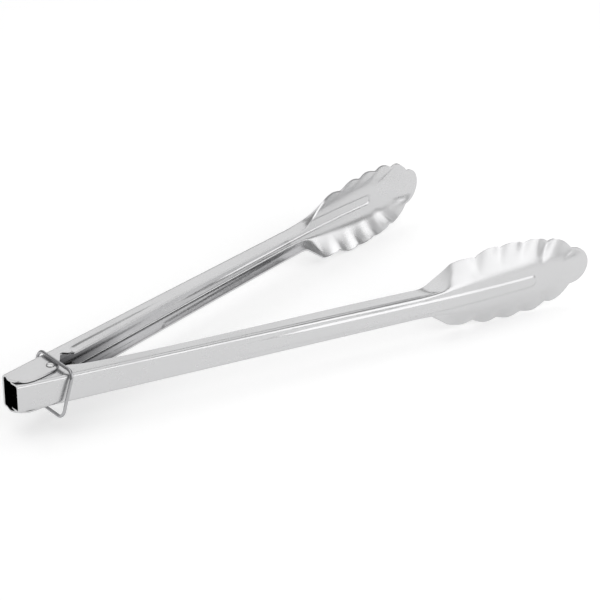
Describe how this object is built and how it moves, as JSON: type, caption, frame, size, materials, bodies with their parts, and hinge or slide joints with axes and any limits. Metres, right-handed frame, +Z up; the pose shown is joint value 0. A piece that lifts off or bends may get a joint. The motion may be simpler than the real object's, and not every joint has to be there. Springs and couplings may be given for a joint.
{
  "type": "spring loaded kitchen tongs",
  "caption": "Long pressed-steel kitchen tongs that spring open: channel arms on a rivet, scalloped spoon-shaped heads and a sliding wire ring that locks them shut.",
  "frame": {"origin": "on the hinge pin's axis at mid-height of the channel", "axes": "+X along the middle to the tips, +Z up along the pin, +Y towards the outer arm; the tongs rest fully open"},
  "size_m": [0.3005, 0.1294, 0.0412],
  "materials": {
    "pressed_steel": "satin, bright at the folds",
    "rivet_steel": "polished",
    "spring_wire": "drawn wire, dull",
    "ring_wire": "bright drawn wire"
  },
  "bodies": {
    "rivet": {"hinge_rivet": "rivet_steel", "torsion_spring": "spring_wire"},
    "outer_arm": {"outer_arm": "pressed_steel"},
    "inner_arm": {"inner_arm": "pressed_steel"},
    "lock_ring": {"lock_ring": "ring_wire"}
  },
  "joints": [
    {"name": "outer_arm_hinge", "type": "hinge", "parent": "rivet", "child": "outer_arm", "pos_m": [0, 0, 0], "axis": [0, 0, -1], "range_deg": [0, 12.8], "stiffness_Nm_per_rad": 1.9, "springref_deg": -9.17, "deforming": ["torsion_spring"]},
    {"name": "inner_arm_hinge", "type": "hinge", "parent": "rivet", "child": "inner_arm", "pos_m": [0, 0, 0], "axis": [0, 0, 1], "range_deg": [0, 12.8], "stiffness_Nm_per_rad": 1.9, "springref_deg": -9.17, "deforming": ["torsion_spring"]},
    {"name": "ring_slide", "type": "slide", "parent": "rivet", "child": "lock_ring", "axis": [1, 0, 0], "range_m": [0, 0.022]}
  ],
  "couplings": [
    {"joint": "inner_arm_hinge", "follows": "outer_arm_hinge", "ratio": 1},
    {"joint": "ring_slide", "follows": "outer_arm_hinge", "m_per_rad": 0.09843}
  ]
}
